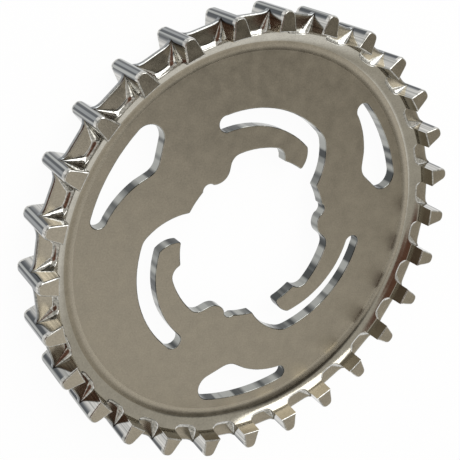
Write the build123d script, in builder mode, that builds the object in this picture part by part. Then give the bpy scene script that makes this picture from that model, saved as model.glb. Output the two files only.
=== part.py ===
"""Belt drive sprocket: one solid lying on its rear tooth ends, axis along +Z, front side up (mm, degrees)."""
import math
import os

from build123d import *

os.makedirs("parts", exist_ok=True)

# Tooth ring
teeth = 28
belt_pitch = 11.0
belt_line_rise = 0.92  # the belt's pitch line runs this far outside the tooth crests
tooth_width = 11.1  # along the axis
tooth_depth = 5.3  # crest to valley floor at mid-space
tooth_foot = 3.9  # tooth thickness at the inner edge of its end face
flank_lean = 11.0  # between a flank and the tooth's own centre line
crest_flat = 0.5  # width left between the two rounded corners of a crest
crest_round = 1.0
crest_flats = 1  # flats in a rounded corner; here and below they keep within 0.07 mm of the true circle
valley_round = 1.8
valley_flats = 2
edge_break = 0.22  # narrow bevel round each tooth end

# Centre fin that runs between the teeth and guides the belt
fin_thickness = 1.0
fin_drop = 1.2  # crest to fin edge at mid-space
fin_sweep = 1.5  # rounding where the fin edge climbs to a tooth
sweep_flats = 1

# Web
web_thickness = 2.4
front_recess = 5.5  # tooth ends stand this far proud of the web's front face
ring_land = 4.1  # height of a tooth's flat end face
cove_radius = 6.0  # cove that rises from the web to the wall under the front tooth ends
cove_turn = 46  # slope at which it meets the wall
cove_flats = 2  # cones between its two ends

# Seat on the hub's driver
seat_radius = 17.45
seat_start = 46.2
seat_span = 15.8
tab_angle = 17.8
tab_height = 1.4  # drive tab, inward from the seat circle
tab_lead = 4.1
tab_trail = 10.6
pocket_depth = 0.48  # hollow beside a tab, outward from the seat circle
shoulder_angle = 2.5
shoulder_round = 2.65

# Spring arm that grips the driver, one in each third
grip = 0.2  # the arm's pad stands inside the seat circle by this much
relief = 2.1  # clearance under the arm, outward from the seat circle
relief_stop = 91.8
pad_start = 83.4
pad_span = 17.0
pad_round = 0.5
arm_edge_centre = (-3.7, 3.55)
arm_edge_radius = 20.2
arm_tip = 58.2
arm_tip_bulge = 0.65
arm_tip_round = 1.0
slot_centre = (-2.9, 3.9)
slot_radius = 23.55
slot_start = 55.0
slot_end = 119.0
gap_bulge = 1.1
gap_round = 4.0

# Lightening window, one in each third
window_margin = 2.31  # flat web between a window and the foot of the cove
window_start = 136.3
window_end = 178.2
window_knee = (28.85, 155.7)  # radius and angle
window_bend = (31.0, 163.3)
window_tail = (34.1, 178.1)
window_bow = 0.55  # how far the inner edge bows into the window
window_round = 3.0
window_knee_round = 3.5

# Derived sizes
crest_radius = teeth * belt_pitch / (2 * math.pi) - belt_line_rise
root_radius = crest_radius - tooth_depth
end_radius = crest_radius - ring_land
fin_radius = crest_radius - fin_drop
mid_plane = tooth_width / 2
fin_front = mid_plane + fin_thickness / 2
web_front = tooth_width - front_recess
web_back = web_front - web_thickness
front_top = tooth_width - edge_break
front_foot = end_radius - cove_radius * math.sin(math.radians(cove_turn))
cove_corner = front_foot + cove_radius * math.tan(math.radians(cove_turn / 2))
wall_foot = web_front + cove_radius * (1 - math.cos(math.radians(cove_turn)))
rear_end_radius = end_radius + edge_break
back_foot = rear_end_radius - web_back
relief_radius = seat_radius + relief
pad_radius = seat_radius - grip
window_radius = front_foot - window_margin
half_pitch = 180 / teeth
spare = 1.0  # cutting shapes run this far past the metal


def around(centre, radius, angle):
    """Point at a radius and an angle about another point."""
    turn = math.radians(angle)
    return (centre[0] + radius * math.cos(turn), centre[1] + radius * math.sin(turn))


def at(radius, angle):
    """Point at a radius and an angle about the axis."""
    return around((0, 0), radius, angle)


def beside_tooth(radius, half, side):
    """Point half a thickness away from a tooth's centre line, seen from the middle of the space on +X."""
    x, y = around(at(radius, half_pitch), half, half_pitch - 90)
    return (x, side * y)


def flank(radius, side):
    """Point of the flank on one side of a tooth space."""
    half = tooth_foot / 2 - (radius - end_radius) * math.tan(math.radians(flank_lean))
    return beside_tooth(radius, half, side)


def bowed(start, end, bulge):
    """Point beside the middle of a chord, to the right of its direction for a positive bulge."""
    length = math.dist(start, end)
    across = ((end[1] - start[1]) / length, (start[0] - end[0]) / length)
    return ((start[0] + end[0]) / 2 + across[0] * bulge, (start[1] + end[1]) / 2 + across[1] * bulge)


def rounded(before, corner, after, radius, flats):
    """Points of a corner eased by a few flats that touch a circle of this radius."""
    to_before = (Vector(*before) - Vector(*corner)).normalized()
    to_after = (Vector(*after) - Vector(*corner)).normalized()
    half = math.radians(to_before.get_angle(to_after)) / 2
    centre = Vector(*corner) + (to_before + to_after).normalized() * (radius / math.sin(half))
    spoke = Vector(*corner) + to_before * (radius / math.tan(half)) - centre
    step = (math.pi - 2 * half) / (flats + 1)
    way = 1 if to_after.cross(to_before).Z > 0 else -1
    spoke = spoke * (1 / math.cos(step / 2))
    points = [centre + spoke.rotate(Axis.Z, way * math.degrees(step) * (n + 0.5)) for n in range(flats + 1)]
    return [(p.X, p.Y) for p in points]


# Outline of one tooth space: floor, rounded corners, flanks, and the rounded corners of the two crests
floor_corner = flank(root_radius, 1)
crest_corner = flank(crest_radius, 1)
crest_edge = beside_tooth(crest_radius, crest_flat / 2, 1)
half_space = (rounded((root_radius, 0), floor_corner, crest_corner, valley_round, valley_flats)
              + rounded(floor_corner, crest_corner, crest_edge, crest_round, crest_flats)
              + [crest_edge, beside_tooth(crest_radius + spare, crest_flat / 2, 1)])
space_outline = half_space + [(x, -y) for x, y in reversed(half_space)]

# Shape that scoops out the front half of one tooth space, down to the fin, and flares at the tooth end
with BuildPart() as scoop:
    with BuildSketch(Plane.XY.offset(fin_front)) as space:
        with BuildLine():
            Polyline(*space_outline, close=True)
        make_face()
    extrude(amount=tooth_width - fin_front + spare)
    with BuildSketch(Plane.XY.offset(front_top)):
        add(space.sketch.faces())
    extrude(amount=2 * edge_break, taper=-45)

# Shape that trims the fin's edge between two teeth, sweeping up to the crests
with BuildPart() as fin_trim:
    with BuildSketch(Plane.XY.offset(mid_plane - fin_thickness)):
        with BuildLine():
            fin_end = (fin_radius, flank(fin_radius, 1)[1] - fin_drop)
            fin_rise = (fin_radius + 2 * fin_drop, fin_end[1] + 2 * fin_drop)
            half_fin = rounded((fin_radius, 0), fin_end, fin_rise, fin_sweep, sweep_flats) + [fin_rise]
            Polyline(*half_fin, *[(x, -y) for x, y in reversed(half_fin)], close=True)
        make_face()
    extrude(amount=2 * fin_thickness)

# One third of the opening for the hub's driver, split where it runs under an arm
with BuildSketch() as third:
    split = (relief_stop + shoulder_angle + 120) / 2
    pad = at(pad_radius, pad_start)
    pad_end = at(pad_radius, pad_start - pad_span)
    tip = around(arm_edge_centre, arm_edge_radius, arm_tip)
    slot_in = around(arm_edge_centre, arm_edge_radius, slot_end)
    slot_out = around(slot_centre, slot_radius, slot_end)
    gap = around(slot_centre, slot_radius, slot_start)
    seat = at(seat_radius, seat_start)
    seat_end = at(seat_radius, seat_start - seat_span)
    tab_in = at(seat_radius - tab_height / 2, tab_angle + tab_lead)
    tab_out = at(seat_radius - tab_height / 4, tab_angle - tab_trail)
    pocket_angle = (seat_start - seat_span + tab_angle + tab_lead) / 2
    shoulder = at(relief_radius, shoulder_angle)
    with BuildLine():
        # Under the arm, round the end of the clearance, along the pad and round the tip
        ThreePointArc(at(relief_radius, split), at(relief_radius, (split + relief_stop) / 2),
                      at(relief_radius, relief_stop))
        TangentArc(at(relief_radius, relief_stop), pad, tangent=at(1, relief_stop - 90))
        ThreePointArc(pad, at(pad_radius, pad_start - pad_span / 2), pad_end)
        ThreePointArc(pad_end, bowed(pad_end, tip, arm_tip_bulge), tip)
        # Back along the arm's outer edge, round the closed end of the slot and out again
        ThreePointArc(tip, around(arm_edge_centre, arm_edge_radius, (arm_tip + slot_end) / 2), slot_in)
        ThreePointArc(slot_in, bowed(slot_in, slot_out, -math.dist(slot_in, slot_out) / 2), slot_out)
        ThreePointArc(slot_out, around(slot_centre, slot_radius, (slot_start + slot_end) / 2), gap)
        # Down the gap's wall, along the fixed seat, and over the drive tab to the next arm
        ThreePointArc(gap, bowed(gap, seat, -gap_bulge), seat)
        ThreePointArc(seat, at(seat_radius, seat_start - seat_span / 2), seat_end)
        ThreePointArc(seat_end, at(seat_radius + pocket_depth, pocket_angle), tab_in)
        ThreePointArc(tab_in, at(seat_radius - tab_height, tab_angle), tab_out)
        Line(tab_out, shoulder)
        ThreePointArc(shoulder, at(relief_radius, (shoulder_angle + split - 120) / 2),
                      at(relief_radius, split - 120))
        Polyline(at(relief_radius, split - 120), (0, 0), at(relief_radius, split))
    make_face()
    for corner, radius in ((pad, pad_round), (pad_end, pad_round), (tip, arm_tip_round), (gap, gap_round),
                           (seat, pad_round), (shoulder, shoulder_round)):
        fillet(third.vertices().sort_by_distance(corner)[0], radius)

# One lightening window: straight and kneed on the inner side, running out to a narrow rounded tail
with BuildSketch() as window:
    top = at(window_radius, window_start)
    knee = at(*window_knee)
    bend = at(*window_bend)
    tail = at(*window_tail)
    tail_end = at(window_radius, window_end)
    with BuildLine():
        Polyline(top, knee, bend)
        ThreePointArc(bend, bowed(bend, tail, window_bow), tail)
        ThreePointArc(tail, bowed(tail, tail_end, -math.dist(tail, tail_end) / 2), tail_end)
        ThreePointArc(tail_end, at(window_radius, (window_start + window_end) / 2), top)
    make_face()
    for corner, radius in ((top, window_round), (knee, window_knee_round), (bend, window_knee_round)):
        fillet(window.vertices().sort_by_distance(corner)[0], radius)

# The sprocket
with BuildPart() as belt_sprocket:
    # Turned blank: flat web, a cove and a wall up to the tooth ends in front, a plain slope behind, bevelled ends
    with BuildSketch(Plane.XZ):
        with BuildLine():
            cove = rounded((end_radius, wall_foot), (cove_corner, web_front), (front_foot, web_front),
                           cove_radius, cove_flats)
            Polyline((0, web_back), (back_foot, web_back), (rear_end_radius, 0), (crest_radius - edge_break, 0),
                     (crest_radius, edge_break), (crest_radius, front_top),
                     (crest_radius - edge_break, tooth_width), (end_radius + edge_break, tooth_width),
                     (end_radius, front_top), (end_radius, wall_foot), *cove, (0, web_front), close=True)
        make_face()
    revolve(axis=Axis.Z)
    # Opening and windows through the web
    with BuildSketch(Plane.XY.offset(web_back - spare)):
        with PolarLocations(0, 3):
            add(third.sketch)
            add(window.sketch)
    extrude(amount=web_thickness + 2 * spare, mode=Mode.SUBTRACT)
    # Tooth spaces on both sides of the fin, then the fin's own edge
    with PolarLocations(0, teeth, start_angle=half_pitch):
        add(scoop.part, mode=Mode.SUBTRACT)
        add(mirror(scoop.part, about=Plane.XY.offset(mid_plane), mode=Mode.PRIVATE), mode=Mode.SUBTRACT)
        add(fin_trim.part, mode=Mode.SUBTRACT)

belt_sprocket.part.label = "belt_sprocket"
export_step(belt_sprocket.part, "parts/belt_sprocket.step")
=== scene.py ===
import math

import bmesh
import bpy
from mathutils import Matrix, Vector


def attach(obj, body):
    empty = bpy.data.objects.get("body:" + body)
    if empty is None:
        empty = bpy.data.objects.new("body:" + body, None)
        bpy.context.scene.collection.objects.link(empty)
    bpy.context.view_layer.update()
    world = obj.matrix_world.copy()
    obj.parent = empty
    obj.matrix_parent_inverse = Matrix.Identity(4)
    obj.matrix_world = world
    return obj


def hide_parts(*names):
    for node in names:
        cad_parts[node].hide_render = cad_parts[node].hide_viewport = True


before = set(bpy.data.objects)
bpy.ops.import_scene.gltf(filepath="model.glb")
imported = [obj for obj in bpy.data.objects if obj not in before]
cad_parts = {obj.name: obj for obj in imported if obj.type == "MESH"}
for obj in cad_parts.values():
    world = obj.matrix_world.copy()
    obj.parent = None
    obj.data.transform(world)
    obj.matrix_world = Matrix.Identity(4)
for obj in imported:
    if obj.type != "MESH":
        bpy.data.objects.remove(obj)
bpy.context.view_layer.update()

MM = 0.001  # sizes are written in millimetres, meshes are in metres

# Tooth ring
TEETH = 28
BELT_PITCH = 11.0
HALF_PITCH = math.pi / TEETH
CREST_BELOW = 0.922  # crests below the belt's pitch line
SPACE_DEPTH = 5.3  # crest to the floor of a tooth space
END_DEPTH = 4.1  # crest to the inner edge of a tooth's end face
CREST = TEETH * BELT_PITCH / (2 * math.pi) - CREST_BELOW
ROOT = CREST - SPACE_DEPTH
TOOTH_END = CREST - END_DEPTH
TOOTH_FOOT = 3.9
FLANK_LEAN = math.radians(11.0)
CREST_ROUND = 1.15
VALLEY_ROUND = 1.8
FOOT_BREAK = 0.22  # rounded edge of a tooth end on the side of the cove
# Rounded edge round the rest of a tooth end: (distance up the tooth, size), across the end and along the axis
END_INWARD = ((0, FOOT_BREAK), (0.8, 0.28), (2.6, 0.28), (END_DEPTH, 0.36))
END_DOWN = ((0, FOOT_BREAK), (0.8, 0.38), (2.6, 0.4), (END_DEPTH, 0.75))
WAVE_BREAK = 0.09  # eased edge where the scoops run out into the cove
WAVE_BREAK_SHARE = 0.5  # it takes at most this share of the way to where the cove turns steep

# Heights are measured from the middle plane of the ring
MIDDLE = 11.1 / 2
TOP = MIDDLE - FOOT_BREAK

# Fin between the teeth
FIN_HALF = 0.5
FIN_RADIUS = CREST - 1.2
FIN_BEND = 2.2  # the fin's edge starts to rise this far before the tooth
FIN_REACH = 0.55  # it meets the tooth this far below the crest
FLOOR_FILLET = 1.0  # between the fin and the middle of the floor of a tooth space
CORNER_FILLET = 1.4
FILLET_SHARE = 0.45  # the fillet takes at most this share of the fin's height
FIN_BREAK = 0.38  # rounded edge of the fin
FIN_BREAK_SHARE = 0.35  # it takes at most this share of the fin's height

# Web
WEB_FRONT = 5.6
WEB_BACK = 3.2
BACK_FOOT = TOOTH_END + FOOT_BREAK - WEB_BACK
OPENINGS_WITHIN = 38.0  # radius that all openings lie inside
WEB_BREAK = 0.15  # eased edge of the openings
RIM = 0.15  # narrow flat strip that keeps the shading of wide faces level
LONG_SIDE = 5 * RIM  # sides of an opening longer than this have points close to both ends
SAME_CORNER = 0.001  # corners of the solid this close together are one
SAME_LEVEL = 0.01  # faces of the solid this close to the web's front belong to it
FACING_UP = 0.99

# Cove of the front: a wide curve off the web, a tight one, then a steep wall up to the tooth ends
WIDE_CURVE = 6.0
WIDE_TURN = math.radians(44)
TIGHT_CURVE = 0.5
WALL_TURN = math.radians(87)

# Faces along each form
FLOOR_STEPS = 4
VALLEY_STEPS = 10
FLANK_STEPS = 5
CREST_STEPS = 10
FILLET_STEPS = 6
FIN_STEPS = 3
FIN_EDGE_STEPS = 4
TOOTH_END_STEPS = 5
HALF_TOOTH_STEPS = 4
WEB_BREAK_STEPS = 3
WIDE_STEPS = 10
SOFT_STEPS = 4  # of the wide steps, those at the foot that have the web's softer finish
TIGHT_STEPS = 3
SLOPE_STEPS = 3
GRID = 2000  # points that agree to this part of a millimetre share a vertex
WELD = 0.002
SHARP = math.radians(28)  # edges that turn more than this stay crisp

# Finishes, in the order of the material slots
POLISHED, TUMBLED, MILLED, TURNED = range(4)

# Camera
PICTURE = 460
FOCAL = 914.559  # in picture points
AXIS_AT = (275.668, 183.793)  # picture point on the lens axis
CAMERA_AT = (-111.691, 50.970, 150.222)
CAMERA_RIGHT = (0.79233, 0.26951, 0.54734)
CAMERA_UP = (-0.09439, 0.94049, -0.32646)


def linear(code):
    """sRGB hex colour as linear RGBA."""
    parts = [int(code[i:i + 2], 16) / 255 for i in (1, 3, 5)]
    return [c / 12.92 if c <= 0.04045 else ((c + 0.055) / 1.055) ** 2.4 for c in parts] + [1.0]


def add_node(tree, kind, links=None, values=None, **settings):
    """Adds a node, sets its properties and socket values, and links its inputs."""
    node = tree.nodes.new(kind)
    for name, value in settings.items():
        setattr(node, name, value)
    for socket, value in (values or {}).items():
        node.inputs[socket].default_value = value
    for socket, source in (links or {}).items():
        tree.links.new(source, node.inputs[socket])
    return node


# Outlines of the ring, seen along the axis with the middle of a tooth space on +X

def on_tooth(height, aside):
    """Point at a height along a tooth's centre line and a distance from it towards the space."""
    c, s = math.cos(HALF_PITCH), math.sin(HALF_PITCH)
    return Vector((height * c + aside * s, height * s - aside * c))


def flank(height):
    """Point of a tooth's leaning flank."""
    return on_tooth(height, TOOTH_FOOT / 2 - (height - TOOTH_END) * math.tan(FLANK_LEAN))


def run(start, end, steps):
    """Evenly spaced points after the start, up to the end."""
    return [start.lerp(end, i / steps) for i in range(1, steps + 1)]


def eased(before, corner, after, radius, steps):
    """Points along the circle that eases a corner, from the first side to the second."""
    to_before = (before - corner).normalized()
    to_after = (after - corner).normalized()
    half = to_before.angle(to_after) / 2
    centre = corner + (to_before + to_after).normalized() * (radius / math.sin(half))
    spoke = corner + to_before * (radius / math.tan(half)) - centre
    turn = math.copysign(math.pi - 2 * half, to_after.cross(to_before))
    return [centre + Matrix.Rotation(turn * i / steps, 2) @ spoke for i in range(steps + 1)]


def wall_line():
    """Half of a tooth space, from the middle of its floor up to the crest.

    Also gives three places on it: within the floor's round corner, where the tooth end begins, where the fin runs out.
    """
    middle = Vector((ROOT, 0))
    floor_corner, crest_corner = flank(ROOT), flank(CREST)
    valley = eased(middle, floor_corner, crest_corner, VALLEY_ROUND, VALLEY_STEPS)
    crown = eased(floor_corner, crest_corner, on_tooth(CREST, 0), CREST_ROUND, CREST_STEPS)
    points = [middle] + run(middle, valley[0], FLOOR_STEPS) + valley[1:]
    points += run(valley[-1], crown[0], FLANK_STEPS) + crown[1:]
    for radius, _ in FRONT_COVE[WIDE_STEPS:]:
        edge = next(i for i, p in enumerate(points) if p.length > radius)
        low, high = points[edge - 1], points[edge]
        points.insert(edge, low.lerp(high, (radius - low.length) / (high.length - low.length)))
    corner = points.index(valley[-1]) - VALLEY_STEPS // 2
    meet = next(i for i, p in enumerate(points) if p.dot(on_tooth(1, 0)) > CREST - FIN_REACH)
    return [p if p.length < CREST else p * (CREST / p.length) for p in points], corner, edge, meet


def fin_line(wall, meet):
    """Half of the fin's edge: straight between the teeth, rising a little to the tooth, then along the tooth."""
    bend = Vector((FIN_RADIUS, wall[meet].y - FIN_BEND))
    knee = bend.lerp(Vector((FIN_RADIUS, wall[meet].y)), 0.5)
    rise = meet // 2
    line = [Vector((FIN_RADIUS, 0))] + run(Vector((FIN_RADIUS, 0)), bend, meet - rise)
    for i in range(1, rise):
        t = i / rise
        line.append(bend.lerp(knee, t).lerp(knee.lerp(wall[meet], t), t))
    return line + wall[meet:]


def between(place, pairs, soft=False):
    """Value at a place between (place, value) pairs: on straight lines, or on soft curves that are level at them."""
    for (a, low), (b, high) in zip(pairs, pairs[1:]):
        if place <= b:
            share = max(place - a, 0) / (b - a)
            return low + (high - low) * (share * share * (3 - 2 * share) if soft else share)
    return pairs[-1][1]


def walked(points):
    """Lengths along a line of points, from its first point."""
    lengths = [0]
    for a, b in zip(points, points[1:]):
        lengths.append(lengths[-1] + (b - a).length)
    return lengths


def sideways(points, first, last):
    """Unit normals to the right of a line of points, with the two end normals given."""
    normals = [first]
    for a, b, c in zip(points, points[1:], points[2:]):
        back, ahead = b - a, c - b
        along = back.normalized() * ahead.length + ahead.normalized() * back.length
        normals.append(Vector((along.y, -along.x)).normalized())
    return normals + [last]


def cove_line():
    """Section of the front cove, from its foot on the web up to the tooth ends, as points of radius and height."""
    line = [Vector((0, 0))]
    for radius, start, end, steps in ((WIDE_CURVE, 0, WIDE_TURN, WIDE_STEPS),
                                      (TIGHT_CURVE, WIDE_TURN, WALL_TURN, TIGHT_STEPS)):
        turns = [start + (end - start) * i / steps for i in range(steps + 1)]
        for low, high in zip(turns, turns[1:]):
            step = Vector((math.sin(high) - math.sin(low), math.cos(low) - math.cos(high)))
            line.append(line[-1] + step * radius)
    rise = TOP + MIDDLE - WEB_FRONT - line[-1].y
    line.append(line[-1] + Vector((rise / math.tan(WALL_TURN), rise)))
    return [p - line[-1] + Vector((TOOTH_END, TOP)) for p in line]


FRONT_COVE = cove_line()
FRONT_FOOT = FRONT_COVE[0].x
WIDE_END = FRONT_COVE[WIDE_STEPS].x


def cove_height(radius, side):
    """Height of the surface that climbs from the web to the tooth ends: a cove in front, a plain slope behind."""
    return between(radius, FRONT_COVE) if side > 0 else radius - TOOTH_END + TOP


def climb_radii(side):
    """Radii from the tooth ends down the cove or slope to its foot."""
    if side > 0:
        return [p.x for p in reversed(FRONT_COVE)]
    return [TOOTH_END + (BACK_FOOT - TOOTH_END) * i / SLOPE_STEPS for i in range(SLOPE_STEPS + 1)]


def foot_angles():
    """Evenly spaced angles at the foot of the cove, round half a space and half a tooth."""
    _, _, edge, _ = wall_line()
    steps = edge + HALF_TOOTH_STEPS
    return [HALF_PITCH * i / steps for i in range(steps + 1)]


def polar(radius, angle):
    """Point at a radius and an angle."""
    return radius * math.cos(angle), radius * math.sin(angle)


class Skin:
    """Gathers faces in millimetres, sharing the vertices that coincide."""

    def __init__(self):
        self.mesh = bmesh.new()
        self.finish = self.mesh.faces.layers.int.new("finish")
        self.seen = {}

    def vertex(self, point):
        """The vertex at a point, made when it is first asked for."""
        key = tuple(round(c * GRID) for c in point)
        if key not in self.seen:
            self.seen[key] = self.mesh.verts.new(Vector(point) * MM)
        return self.seen[key]

    def face(self, points, finish):
        """A face with a finish, unless its points fall together."""
        corners = []
        for point in points:
            corner = self.vertex(point)
            if corner not in corners:
                corners.append(corner)
        if len(corners) > 2 and not self.mesh.faces.get(corners):
            self.mesh.faces.new(corners)[self.finish] = finish

    def strips(self, rows, finish):
        """Faces between neighbouring rows of points."""
        for low, high in zip(rows, rows[1:]):
            for i in range(len(low) - 1):
                self.face((low[i], low[i + 1], high[i + 1], high[i]), finish)

    def data(self, name):
        """The gathered faces as a mesh."""
        mesh = bpy.data.meshes.new(name)
        self.mesh.to_mesh(mesh)
        self.mesh.free()
        return mesh


def rounding(steps):
    """Pairs that run along a quarter circle of radius 1, from (0, 0) to (1, 1), level at the end."""
    turns = [math.pi / 2 * i / steps for i in range(steps + 1)]
    return [(1 - math.cos(t), math.sin(t)) for t in turns]


class ToothSpace:
    """One quarter of a tooth space with the half tooth beside it: front or back, one hand or the other."""

    def __init__(self, skin, side, hand):
        self.skin, self.side, self.hand = skin, side, hand
        self.wall, corner, self.edge, self.meet = wall_line()
        self.fin = fin_line(self.wall, self.meet)
        self.crest_way = on_tooth(1, 0)
        self.out = sideways(self.wall, Vector((1, 0)), self.crest_way)

        # Size of the fillet and where it runs out on the fin
        far = walked(self.wall)
        sweep = ((0, FLOOR_FILLET), (far[corner], CORNER_FILLET), (far[self.meet], 0))
        self.gaps = [(f - w).length for f, w in zip(self.fin, self.wall)]
        self.foot = [min(between(d, sweep, soft=True), FILLET_SHARE * gap) for d, gap in zip(far, self.gaps)]
        self.inner = [p + n * f for p, n, f in zip(self.wall, self.out, self.foot)]

        # Wavy edge below the tooth ends, then the edge of the tooth end
        climbs = [p.dot(self.crest_way) - TOOTH_END for p in self.wall]
        self.down = [between(c, END_DOWN) for c in climbs]
        self.inward = [between(c, END_INWARD) for c in climbs]
        self.starts = [self.fillet_start(i) if i <= self.edge else 0 for i in range(len(self.wall))]
        self.rims = [self.fillet(i, self.starts[i])[0] for i in range(self.edge + 1)]
        self.top_row = [self.place(p, self.wave_height(p)) for p in self.rims]
        beyond = slice(self.edge + 1, None)
        self.top_row += [self.place(p, MIDDLE - d) for p, d in zip(self.wall[beyond], self.down[beyond])]
        self.rim_angles = [math.atan2(p.y, p.x) for p in self.rims]
        last = self.rim_angles[-1]
        self.rim_angles += [last + (HALF_PITCH - last) * i / HALF_TOOTH_STEPS for i in range(1, HALF_TOOTH_STEPS + 1)]

    def place(self, point, height):
        """Point of the skin at a height above the middle plane."""
        return (point[0], self.hand * point[1], MIDDLE + self.side * height)

    def edge_break(self, point):
        """Size of the eased wavy edge, which runs out where the cove turns steep."""
        steep = WIDE_END if self.side > 0 else TOOTH_END
        return min(WAVE_BREAK, WAVE_BREAK_SHARE * max(steep - point.length, 0))

    def wave_height(self, point):
        """Height of the wavy edge, below its easing."""
        return cove_height(point.length, self.side) - self.edge_break(point)

    def fillet(self, i, turn):
        """Point and height on the fillet, which turns from the wall to the fin's face."""
        point = self.wall[i].lerp(self.inner[i], 1 - math.cos(turn))
        return point, FIN_HALF + self.foot[i] * (1 - math.sin(turn))

    def clear(self, i, turn):
        """Whether the fillet lies below the cove there."""
        point, height = self.fillet(i, turn)
        return height < self.wave_height(point)

    def fillet_start(self, i):
        """Turn at which the fillet starts: at the wall, or further on where the cove cuts it."""
        low, high = 0, math.pi / 2
        while high - low > 1e-6 and not self.clear(i, 0):
            middle = (low + high) / 2
            low, high = (low, middle) if self.clear(i, middle) else (middle, high)
        return high if low else 0

    def add_scoop(self):
        """Fillet at the fin's foot, and the wall above it."""
        rows = []
        for step in range(FILLET_STEPS + 1):
            turns = [start + (math.pi / 2 - start) * step / FILLET_STEPS for start in self.starts]
            rows.append([self.place(*self.fillet(i, turn)) for i, turn in enumerate(turns)])
        self.skin.strips(rows, POLISHED)
        self.skin.strips([rows[0], self.top_row], POLISHED)

    def add_fin(self):
        """The fin's face and its rounded edge."""
        meet = self.meet
        out = sideways(self.fin[:meet + 1], Vector((1, 0)), self.out[meet]) + self.out[meet + 1:]
        ease = [min(FIN_BREAK, FIN_BREAK_SHARE * gap) for gap in self.gaps]
        outer = [p - n * e for p, n, e in zip(self.fin, out, ease)]
        rows = []
        for step in range(FIN_STEPS + 1):
            rows.append([self.place(a.lerp(b, step / FIN_STEPS), FIN_HALF) for a, b in zip(self.inner, outer)])
        self.skin.strips(rows, MILLED)
        rows = []
        for drop, across in rounding(FIN_EDGE_STEPS):
            rows.append([self.place(p - n * e * (1 - across), FIN_HALF - e * drop)
                         for p, n, e in zip(self.fin, out, ease)])
        rows.append([self.place(p, 0) for p in self.fin])
        self.skin.strips(rows, POLISHED)

    def cove_column(self, i, start, end, foot):
        """Points down the cove or slope, from the wavy edge or the tooth end to its foot."""
        on_wave = i <= self.edge
        top = self.rims[i].length - self.edge_break(self.rims[i]) if on_wave else TOOTH_END
        column = []
        for radius in climb_radii(self.side):
            radius = min(radius, top)
            angle = start + (end - start) * (top - radius) / (top - foot)
            column.append(self.place(polar(radius, angle), cove_height(radius, self.side)))
        return [self.top_row[i] if on_wave else column[0]] + column

    def add_cove(self):
        """Eased wavy edge, cove or slope, and the level strip at its foot."""
        front = self.side > 0
        foot = FRONT_FOOT if front else BACK_FOOT
        level = WEB_FRONT - MIDDLE if front else MIDDLE - WEB_BACK
        soft = SOFT_STEPS if front else 0
        angles = foot_angles()
        columns = [self.cove_column(i, start, end, foot)
                   for i, (start, end) in enumerate(zip(self.rim_angles, angles))]
        self.skin.strips([column[:2] for column in columns], POLISHED)
        self.skin.strips([column[1:len(column) - soft] for column in columns], TURNED)
        self.skin.strips([column[len(column) - soft - 1:] for column in columns], MILLED)
        self.skin.strips([[self.place(polar(r, a), level) for a in angles] for r in (foot, foot - RIM)], TUMBLED)

    def add_tooth_top(self):
        """Crest between its rounded corners, the rounded edge of the tooth end, and the end face."""
        edge, crest_in, crest_down = self.edge, END_INWARD[-1][1], END_DOWN[-1][1]
        crest = [self.wall[-1], (self.wall[-1] + on_tooth(CREST, 0)) / 2, on_tooth(CREST, 0)]
        self.skin.strips([[self.place(p, h) for p in crest] for h in (0, FIN_HALF, MIDDLE - crest_down)], POLISHED)

        brim = [Vector(polar(1, a)) * TOOTH_END for a in reversed(self.rim_angles[edge + 1:])]
        inset = [p * (1 + FOOT_BREAK / TOOTH_END) for p in brim]
        depth = [FOOT_BREAK] * (len(brim) + 1) + self.down[edge + 1:] + [crest_down] * 2
        brim += self.wall[edge:] + crest[1:]
        breaks = [FOOT_BREAK] + self.inward[edge + 1:]
        inset += [p - n * b for p, n, b in zip(self.wall[edge:], self.out[edge:], breaks)]
        inset += [p - self.crest_way * crest_in for p in crest[1:]]
        inset = [p * max(1, (TOOTH_END + FOOT_BREAK) / p.length) for p in inset]
        rows = []
        for across, up in rounding(TOOTH_END_STEPS):
            rows.append([self.place(p.lerp(q, across), MIDDLE - d * (1 - up)) for p, q, d in zip(brim, inset, depth)])
        self.skin.strips(rows, POLISHED)
        self.skin.face(rows[-1], MILLED)


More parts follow.
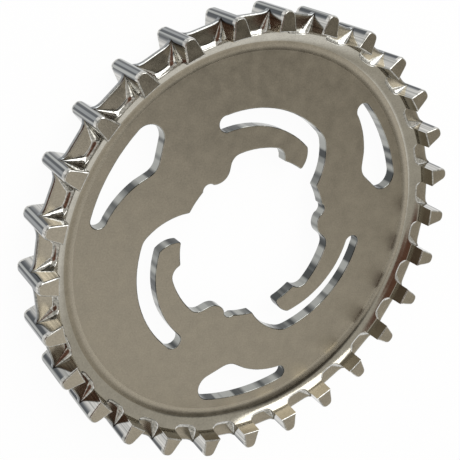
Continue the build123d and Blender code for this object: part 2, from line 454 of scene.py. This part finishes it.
def ring_tree(finishes):
    """Geometry nodes that repeat one tooth space round the axis."""
    tree = bpy.data.node_groups.new("toothed_ring", "GeometryNodeTree")
    tree.interface.new_socket("Geometry", in_out="INPUT", socket_type="NodeSocketGeometry")
    teeth = tree.interface.new_socket("Teeth", in_out="INPUT", socket_type="NodeSocketInt")
    first = tree.interface.new_socket("First Space", in_out="INPUT", socket_type="NodeSocketFloat")
    weld = tree.interface.new_socket("Weld", in_out="INPUT", socket_type="NodeSocketFloat")
    tree.interface.new_socket("Geometry", in_out="OUTPUT", socket_type="NodeSocketGeometry")
    given = add_node(tree, "NodeGroupInput").outputs
    spots = add_node(tree, "GeometryNodePoints", {"Count": given["Teeth"]})
    index = add_node(tree, "GeometryNodeInputIndex")
    share = add_node(tree, "ShaderNodeMath", {0: index.outputs[0], 1: given["Teeth"]}, operation="DIVIDE")
    turn = add_node(tree, "ShaderNodeMath", {0: share.outputs[0], 2: given["First Space"]}, {1: 2 * math.pi},
                    operation="MULTIPLY_ADD")
    spin = add_node(tree, "ShaderNodeCombineXYZ", {"Z": turn.outputs[0]})
    copies = add_node(tree, "GeometryNodeInstanceOnPoints",
                      {"Points": spots.outputs[0], "Instance": given["Geometry"], "Rotation": spin.outputs[0]})
    real = add_node(tree, "GeometryNodeRealizeInstances", {"Geometry": copies.outputs[0]})
    welded = add_node(tree, "GeometryNodeMergeByDistance", {"Geometry": real.outputs[0], "Distance": given["Weld"]})
    zone = add_node(tree, "GeometryNodeInputNamedAttribute", values={"Name": "finish"}, data_type="INT")
    dressed = welded
    for number, finish in enumerate(finishes):
        chosen = add_node(tree, "FunctionNodeCompare", {"A": zone.outputs[0]}, {"B": number},
                          data_type="INT", operation="EQUAL")
        dressed = add_node(tree, "GeometryNodeSetMaterial",
                           {"Geometry": dressed.outputs[0], "Selection": chosen.outputs[0]}, {"Material": finish})
    add_node(tree, "NodeGroupOutput", {"Geometry": dressed.outputs[0]})
    return tree, {teeth.identifier: TEETH, first.identifier: HALF_PITCH, weld.identifier: WELD * MM}


def make_ring(finishes):
    """Mesh of the toothed ring, with its fin and the cove down to the web."""
    skin = Skin()
    for side in (1, -1):
        for hand in (1, -1):
            quarter = ToothSpace(skin, side, hand)
            quarter.add_scoop()
            quarter.add_fin()
            quarter.add_cove()
            quarter.add_tooth_top()
    space = bpy.data.objects.new("tooth_space", skin.data("tooth_space"))
    bpy.context.scene.collection.objects.link(space)
    tree, inputs = ring_tree(finishes)
    repeat = space.modifiers.new("toothed_ring", "NODES")
    repeat.node_group = tree
    for identifier, value in inputs.items():
        repeat[identifier] = value
    bpy.context.view_layer.update()
    ready = space.evaluated_get(bpy.context.evaluated_depsgraph_get())
    ring = bpy.data.meshes.new_from_object(ready)
    bpy.data.objects.remove(space)
    return ring


# Web

def opening_lines():
    """Outlines of the openings on the web's front face, counter-clockwise, from a merged copy of the solid."""
    solid = bmesh.new()
    solid.from_mesh(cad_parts["belt_sprocket"].data)
    bmesh.ops.remove_doubles(solid, verts=solid.verts, dist=SAME_CORNER * MM)
    solid.normal_update()
    face_up = {f for f in solid.faces
               if f.normal.z > FACING_UP and abs(f.calc_center_median().z - WEB_FRONT * MM) < SAME_LEVEL * MM}
    onward = {}
    for edge in solid.edges:
        if sum(f in face_up for f in edge.link_faces) == 1 and edge.verts[0].co.xy.length < OPENINGS_WITHIN * MM:
            a, b = (tuple(v.co.xy / MM) for v in edge.verts)
            onward.setdefault(a, []).append(b)
            onward.setdefault(b, []).append(a)
    solid.free()
    lines = []
    while onward:
        point, line = next(iter(onward)), []
        while point:
            line.append(Vector(point))
            point = next((p for p in onward.pop(point) if p in onward), None)
        area = sum(a.cross(b) for a, b in zip(line, line[1:] + line[:1]))
        lines.append(line if area > 0 else line[::-1])
    return lines


def held(points):
    """Adds a point close to both ends of each long side, which keeps its shading flat."""
    full = []
    for a, b in zip(points, points[1:] + points[:1]):
        length = (b - a).length
        full.append(a)
        if length > LONG_SIDE:
            full += [a.lerp(b, RIM / length), b.lerp(a, RIM / length)]
    return full


def outward(points):
    """Mitred directions into the metal round a counter-clockwise opening."""
    sides = [(b - a).normalized() for a, b in zip(points, points[1:] + points[:1])]
    rights = [Vector((s.y, -s.x)) for s in sides]
    return [(a + b) / (1 + a.dot(b)) for a, b in zip(rights[-1:] + rights[:-1], rights)]


def make_web():
    """Mesh of the flat web, with the eased edges and walls of its openings."""
    skin = Skin()
    angles = foot_angles()
    round_angles = []
    for i in range(TEETH):
        middle = (2 * i + 1) * HALF_PITCH
        round_angles += [middle - a for a in reversed(angles[1:])] + [middle + a for a in angles[:-1]]
    # Section of an opening's wall, front to back: distance into the metal and depth
    section = [(WEB_BREAK + RIM, 0)]
    section += [(WEB_BREAK * (1 - across), WEB_BREAK * drop) for drop, across in rounding(WEB_BREAK_STEPS)]
    section += [(inset, WEB_FRONT - WEB_BACK - down) for inset, down in reversed(section)]
    borders = {WEB_FRONT: [], WEB_BACK: []}
    for points in map(held, opening_lines()):
        ways = outward(points)
        rows = []
        for inset, down in section:
            ring = [p + n * inset for p, n in zip(points, ways)]
            rows.append([(p.x, p.y, WEB_FRONT - down) for p in ring + ring[:1]])
        skin.strips(rows[:2], TUMBLED)
        skin.strips(rows[1:-1], POLISHED)
        skin.strips(rows[-2:], TUMBLED)
        borders[WEB_FRONT].append(rows[0])
        borders[WEB_BACK].append(rows[-1])
    for level, rim in ((WEB_FRONT, FRONT_FOOT - RIM), (WEB_BACK, BACK_FOOT - RIM)):
        rows = [[(*polar(rim, a), level) for a in round_angles]] + borders[level]
        edges = []
        for row in rows:
            loop = row if row[0] == row[-1] else row + row[:1]
            for a, b in zip(loop, loop[1:]):
                ends = (skin.vertex(a), skin.vertex(b))
                if ends[0] != ends[1]:
                    edges.append(skin.mesh.edges.get(ends) or skin.mesh.edges.new(ends))
        filled = bmesh.ops.triangle_fill(skin.mesh, use_beauty=True, edges=edges, normal=(0, 0, 1))
        for part in filled["geom"]:
            if isinstance(part, bmesh.types.BMFace):
                part[skin.finish] = TUMBLED
    return skin.data("web")


def make_sprocket(finishes):
    """The whole sprocket as one closed skin."""
    whole = bmesh.new()
    whole.from_mesh(make_ring(finishes))
    whole.from_mesh(make_web())
    zone = whole.faces.layers.int["finish"]
    for part in whole.faces:
        part.material_index = part[zone]
    bmesh.ops.remove_doubles(whole, verts=whole.verts, dist=WELD * MM)
    bmesh.ops.recalc_face_normals(whole, faces=whole.faces)
    mesh = bpy.data.meshes.new("sprocket_body")
    whole.to_mesh(mesh)
    whole.free()
    for finish in finishes:
        mesh.materials.append(finish)
    mesh.shade_smooth()
    mesh.set_sharp_from_angle(angle=SHARP)
    draft = bpy.data.objects.new("draft", mesh)
    bpy.context.scene.collection.objects.link(draft)
    level = draft.modifiers.new("level", "WEIGHTED_NORMAL")
    level.keep_sharp = True
    bpy.context.view_layer.update()
    ready = draft.evaluated_get(bpy.context.evaluated_depsgraph_get())
    body = bpy.data.objects.new("sprocket_body", bpy.data.meshes.new_from_object(ready))
    bpy.data.objects.remove(draft)
    bpy.context.scene.collection.objects.link(body)
    return body


# Materials

SCOOPS_FROM = (40.5, 41.5)  # radii between which the painted reflections of the openings' walls give way to those of the scoops
CREST_REFLECTIONS_FROM = (46.3, 47.2)  # radii between which the painted reflection bands of the crests begin
CREST_REFLECTIONS_WITHIN = (4.55, 4.75)  # heights between which they run out towards the tooth ends
# Painted reflection bands from the middle of a crest to its side: tones at shares of the tooth pitch
CREST_REFLECTION_TONES = ((0.04, "#8b8e8f"), (0.055, "#4a4d51"), (0.08, "#4e5155"), (0.095, "#a9aba8"), (0.115, "#a4a6a4"),
               (0.13, "#45484b"), (0.145, "#505356"), (0.17, "#85888a"))
CREST_WANDER = 0.04  # the cutter-line noise shifts the painted reflection bands by up to this share
TUMBLED_TONES = ("#90897b", "#a39b8b")
TURNED_TONES = ("#a39f95", "#b7b3a8")
SHEEN_SPREAD = 0.03


def new_steel(name):
    """Metal to work on: the material, its node tree and the inputs of its shader."""
    material = bpy.data.materials.new(name)
    material.use_nodes = True
    inputs = material.node_tree.nodes["Principled BSDF"].inputs
    inputs["Metallic"].default_value = 1.0
    return material, material.node_tree, inputs


def two_tones(tree, source, *stops):
    """Colour that runs from one tone to another, each given with its place on the source's scale."""
    blend = add_node(tree, "ShaderNodeValToRGB", {"Fac": source})
    for element, (position, code) in zip(blend.color_ramp.elements, stops):
        element.position = position
        element.color = linear(code)
    return blend.outputs[0]


def add_surface(tree, inputs, wear, roughness, relief, strength, depth):
    """Roughness that follows one pattern between two values, and a fine relief that follows another."""
    gloss = add_node(tree, "ShaderNodeMapRange", {"Value": wear},
                     {"From Min": 0.3, "From Max": 0.7, "To Min": roughness[0], "To Max": roughness[1]})
    tree.links.new(gloss.outputs[0], inputs["Roughness"])
    bump = add_node(tree, "ShaderNodeBump", {"Height": relief}, {"Strength": strength, "Distance": depth * MM})
    tree.links.new(bump.outputs[0], inputs["Normal"])


def painted_wall_reflections(tree, flat, radius, lines):
    """Painted reflections on the walls: broad dark and light patches in the openings, bright streaks in the tooth
    spaces.
    """
    # Broad soft dark and light patches 3 mm across: painted reflections on the polished walls
    broad = add_node(tree, "ShaderNodeTexNoise", {"Vector": flat}, {"Scale": 1 / (3 * MM), "Detail": 1.0})
    # painted reflections: dark and light patches on the openings' walls
    openings = two_tones(tree, broad.outputs[0], (0.42, "#4a4c4c"), (0.56, "#a0a19d"))
    # painted reflections: bright streaks along the walls of the tooth spaces
    scoops = two_tones(tree, lines, (0.3, "#8f908d"), (0.7, "#dcdad5"))
    ring = add_node(tree, "ShaderNodeMapRange", {"Value": radius},
                    {"From Min": SCOOPS_FROM[0] * MM, "From Max": SCOOPS_FROM[1] * MM})
    walls = add_node(tree, "ShaderNodeMix", {"Factor": ring.outputs[0], "A": openings, "B": scoops}, data_type="RGBA")
    return walls.outputs[2]


def painted_crest_reflections(tree, parts, lines):
    """Painted reflections on the crests: dark and light blue-grey bands along the tooth, by the distance from its
    middle, with a little wander.
    """
    angle = add_node(tree, "ShaderNodeMath", {0: parts["Y"], 1: parts["X"]}, operation="ARCTAN2")
    turn = add_node(tree, "ShaderNodeMath", {0: angle.outputs[0]}, {1: TEETH / (2 * math.pi)}, operation="MULTIPLY")
    aside = add_node(tree, "ShaderNodeMath", {0: turn.outputs[0]}, {1: 0.5}, operation="PINGPONG")
    stray = add_node(tree, "ShaderNodeMath", {0: lines, 2: aside.outputs[0]}, {1: CREST_WANDER},
                     operation="MULTIPLY_ADD")
    # painted reflections: dark and light blue-grey bands along each crest
    crest = add_node(tree, "ShaderNodeValToRGB", {"Fac": stray.outputs[0]})
    ramp = crest.color_ramp
    ramp.elements[0].color = linear(CREST_REFLECTION_TONES[0][1])
    ramp.elements[1].color = linear(CREST_REFLECTION_TONES[-1][1])
    for position, code in CREST_REFLECTION_TONES:
        ramp.elements.new(position).color = linear(code)
    return crest.outputs[0]


def crest_reflection_share(tree, parts, radius):
    """Where the painted crest reflections show: near the full radius, away from the tooth ends."""
    # radial reach of the painted crest reflections
    crest_reach = add_node(tree, "ShaderNodeMapRange", {"Value": radius},
                    {"From Min": CREST_REFLECTIONS_FROM[0] * MM, "From Max": CREST_REFLECTIONS_FROM[1] * MM},
                    interpolation_type="SMOOTHSTEP")
    height = add_node(tree, "ShaderNodeMath", {0: parts["Z"]}, {1: MIDDLE * MM}, operation="SUBTRACT")
    level = add_node(tree, "ShaderNodeMath", {0: height.outputs[0]}, operation="ABSOLUTE")
    inside = add_node(tree, "ShaderNodeMapRange", {"Value": level.outputs[0]},
                      {"From Min": CREST_REFLECTIONS_WITHIN[0] * MM, "From Max": CREST_REFLECTIONS_WITHIN[1] * MM,
                       "To Min": 1.0, "To Max": 0.0})
    land = add_node(tree, "ShaderNodeMath", {0: crest_reach.outputs[0], 1: inside.outputs[0]}, operation="MULTIPLY")
    return land.outputs[0]


def polished_steel():
    """Stainless steel, milled and polished: near-mirror walls with painted reflection patches and streaks, and painted
    blue-grey reflection bands along the crests.
    """
    material, tree, inputs = new_steel("stainless_steel_polished")
    place = add_node(tree, "ShaderNodeTexCoord").outputs["Object"]
    parts = add_node(tree, "ShaderNodeSeparateXYZ", {0: place}).outputs
    flat = add_node(tree, "ShaderNodeVectorMath", {0: place}, {1: (1.0, 1.0, 0.0)}, operation="MULTIPLY").outputs[0]
    radius = add_node(tree, "ShaderNodeVectorMath", {0: flat}, operation="LENGTH").outputs["Value"]
    # Cutter lines 0.4 mm wide and 30 mm long, drawn coarser than the real 0.05 mm so that they show; they also lay the
    # painted reflection streaks on the walls and shift the painted reflection bands of the crests
    along = add_node(tree, "ShaderNodeMapping", {"Vector": place},
                     {"Scale": (1 / (0.4 * MM), 1 / (0.4 * MM), 1 / (30 * MM))})
    lines = add_node(tree, "ShaderNodeTexNoise", {"Vector": along.outputs[0]},
                     {"Scale": 1.0, "Detail": 3.0}).outputs[0]
    # base colour: painted wall reflections, giving way to painted crest reflection bands near the full radius
    colour = add_node(tree, "ShaderNodeMix", {"Factor": crest_reflection_share(tree, parts, radius),
                                              "A": painted_wall_reflections(tree, flat, radius, lines),
                                              "B": painted_crest_reflections(tree, parts, lines)}, data_type="RGBA")
    tree.links.new(colour.outputs[2], inputs["Base Color"])
    add_surface(tree, inputs, lines, (0.04, 0.1), lines, 0.05, 0.02)
    return material


def tumbled_steel(name, sheen, deep, pale):
    """Stainless steel, cut and tumbled: a warm grey sheen, soft or sharper, with a fine even grain and faint marks."""
    material, tree, inputs = new_steel(name)
    place = add_node(tree, "ShaderNodeTexCoord").outputs["Object"]
    # Tumbling grain about 0.35 mm across, drawn coarser than the real 0.1 mm so that it shows
    fine = add_node(tree, "ShaderNodeTexNoise", {"Vector": place},
                    {"Scale": 1 / (0.35 * MM), "Detail": 3.0})
    # Faint clouds 3 mm across, from handling and uneven tumbling
    cloud = add_node(tree, "ShaderNodeTexNoise", {"Vector": place},
                     {"Scale": 1 / (3 * MM), "Detail": 5.0, "Roughness": 0.65})
    both = add_node(tree, "ShaderNodeMath", {0: cloud.outputs[0], 1: fine.outputs[0]}, operation="ADD")
    tint = add_node(tree, "ShaderNodeMapRange", {"Value": both.outputs[0]}, {"From Min": 0.7, "From Max": 1.3})
    tree.links.new(two_tones(tree, tint.outputs[0], (0, deep), (1, pale)), inputs["Base Color"])
    roughness = (sheen - SHEEN_SPREAD, sheen + SHEEN_SPREAD)
    add_surface(tree, inputs, cloud.outputs[0], roughness, fine.outputs[0], 0.2, 0.03)
    return material


# Studio

FLOOR_RADIUS = 4  # metres
WINDOW_AT = (-0.015, 0.421, 0.354)  # metres
WINDOW_SIZE = (0.5, 0.64)
WINDOW_POWER = 2.7  # watts
FLOOR_WHITE = 0.96  # share of plain white in the floor's look; the rest keeps the shadow
ROOM_TONE = "#c2bfb8"
ROOM_LIGHT = 1.15
# Parts of the room: direction, the cosines off it where the tone starts and is full, and the tone
ROOM_PARTS = (((0.78, -0.60, 0.10), 0.83, 0.95, "#ffffff"),  # pale far side
              ((-0.61, -0.085, 0.788), 0.86, 0.95, "#6b4d40"),  # warm brown behind the camera
              ((-0.145, -0.172, 0.974), 0.985, 0.995, "#75584c"),  # its upper end
              ((0.288, 0.051, 0.956), 0.97, 0.99, "#4a4640"),  # dim overhead, the dark line in the cove
              ((0.429, -0.311, 0.848), 0.95, 0.99, "#ffffff"),  # bright overhead, the sheen of the web
              ((0.539, -0.076, 0.839), 0.978, 0.994, "#4a4842"))  # dim corner beside it


def make_floor():
    """Plain white floor, shown white to the eye and in reflections, with a trace of the shadow left on it."""
    bpy.ops.mesh.primitive_circle_add(vertices=64, radius=FLOOR_RADIUS, fill_type="NGON")
    floor = bpy.context.object
    floor.name = "floor"
    material = bpy.data.materials.new("white_paper")
    material.use_nodes = True
    tree = material.node_tree
    tree.nodes.remove(tree.nodes["Principled BSDF"])
    paper = add_node(tree, "ShaderNodeBsdfDiffuse", values={"Color": linear("#f2f2f2")})
    white = add_node(tree, "ShaderNodeEmission", values={"Strength": 1.0})
    ray = add_node(tree, "ShaderNodeLightPath").outputs
    seen = add_node(tree, "ShaderNodeMath", {0: ray["Is Camera Ray"], 1: ray["Is Glossy Ray"]}, operation="MAXIMUM")
    seen = add_node(tree, "ShaderNodeMath", {0: seen.outputs[0], 1: ray["Is Transmission Ray"]}, operation="MAXIMUM")
    part = add_node(tree, "ShaderNodeMath", {0: seen.outputs[0]}, {1: FLOOR_WHITE}, operation="MULTIPLY")
    mixed = add_node(tree, "ShaderNodeMixShader",
                     {0: part.outputs[0], 1: paper.outputs[0], 2: white.outputs[0]})
    tree.links.new(mixed.outputs[0], tree.nodes["Material Output"].inputs["Surface"])
    floor.data.materials.append(material)


def make_light():
    """Soft box like a window, that faces the sprocket."""
    lamp = bpy.data.lights.new("window_softbox", "AREA")
    lamp.shape = "RECTANGLE"
    lamp.size, lamp.size_y = WINDOW_SIZE
    lamp.energy = WINDOW_POWER
    light = bpy.data.objects.new("window_softbox", lamp)
    light.location = WINDOW_AT
    light.rotation_euler = Vector(WINDOW_AT).to_track_quat("Z", "Y").to_euler()
    bpy.context.scene.collection.objects.link(light)


def make_world():
    """Studio room: pale on the far side, warm brown behind the camera, bright and dim parts overhead."""
    world = bpy.data.worlds.new("studio")
    bpy.context.scene.world = world
    world.use_nodes = True
    tree = world.node_tree
    place = add_node(tree, "ShaderNodeTexCoord")
    shade = None
    for way, start, full, code in ROOM_PARTS:
        towards = add_node(tree, "ShaderNodeVectorMath", {0: place.outputs["Generated"]},
                           {1: Vector(way).normalized()}, operation="DOT_PRODUCT")
        share = add_node(tree, "ShaderNodeMapRange", {"Value": towards.outputs["Value"]},
                         {"From Min": start, "From Max": full}, interpolation_type="SMOOTHSTEP")
        tone = add_node(tree, "ShaderNodeMix", {"Factor": share.outputs[0]},
                        {"A": linear(ROOM_TONE), "B": linear(code)}, data_type="RGBA")
        if shade:
            tree.links.new(shade.outputs[2], tone.inputs["A"])
        shade = tone
    tree.links.new(shade.outputs[2], tree.nodes["Background"].inputs["Color"])
    tree.nodes["Background"].inputs["Strength"].default_value = ROOM_LIGHT


def make_camera():
    """Camera that frames the sprocket as the photograph does."""
    lens = bpy.data.cameras.new("camera")
    lens.sensor_width = 36
    lens.lens = FOCAL / PICTURE * lens.sensor_width
    lens.shift_x = (PICTURE / 2 - AXIS_AT[0]) / PICTURE
    lens.shift_y = (AXIS_AT[1] - PICTURE / 2) / PICTURE
    lens.clip_start = 0.01
    camera = bpy.data.objects.new("camera", lens)
    right = Vector(CAMERA_RIGHT).normalized()
    up = Vector(CAMERA_UP)
    up = (up - right * up.dot(right)).normalized()
    axes = Matrix((right, up, right.cross(up))).transposed().to_4x4()
    camera.matrix_world = Matrix.Translation(Vector(CAMERA_AT) * MM) @ axes
    bpy.context.scene.collection.objects.link(camera)
    bpy.context.scene.camera = camera


bpy.context.scene.view_settings.view_transform = "Standard"
sprocket = make_sprocket((polished_steel(),
                          tumbled_steel("stainless_steel_tumbled", 0.36, *TUMBLED_TONES),
                          tumbled_steel("stainless_steel_milled_tumbled", 0.24, *TUMBLED_TONES),
                          tumbled_steel("stainless_steel_turned", 0.12, *TURNED_TONES)))
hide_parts("belt_sprocket")
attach(sprocket, "root")
make_floor()
make_world()
make_light()
make_camera()
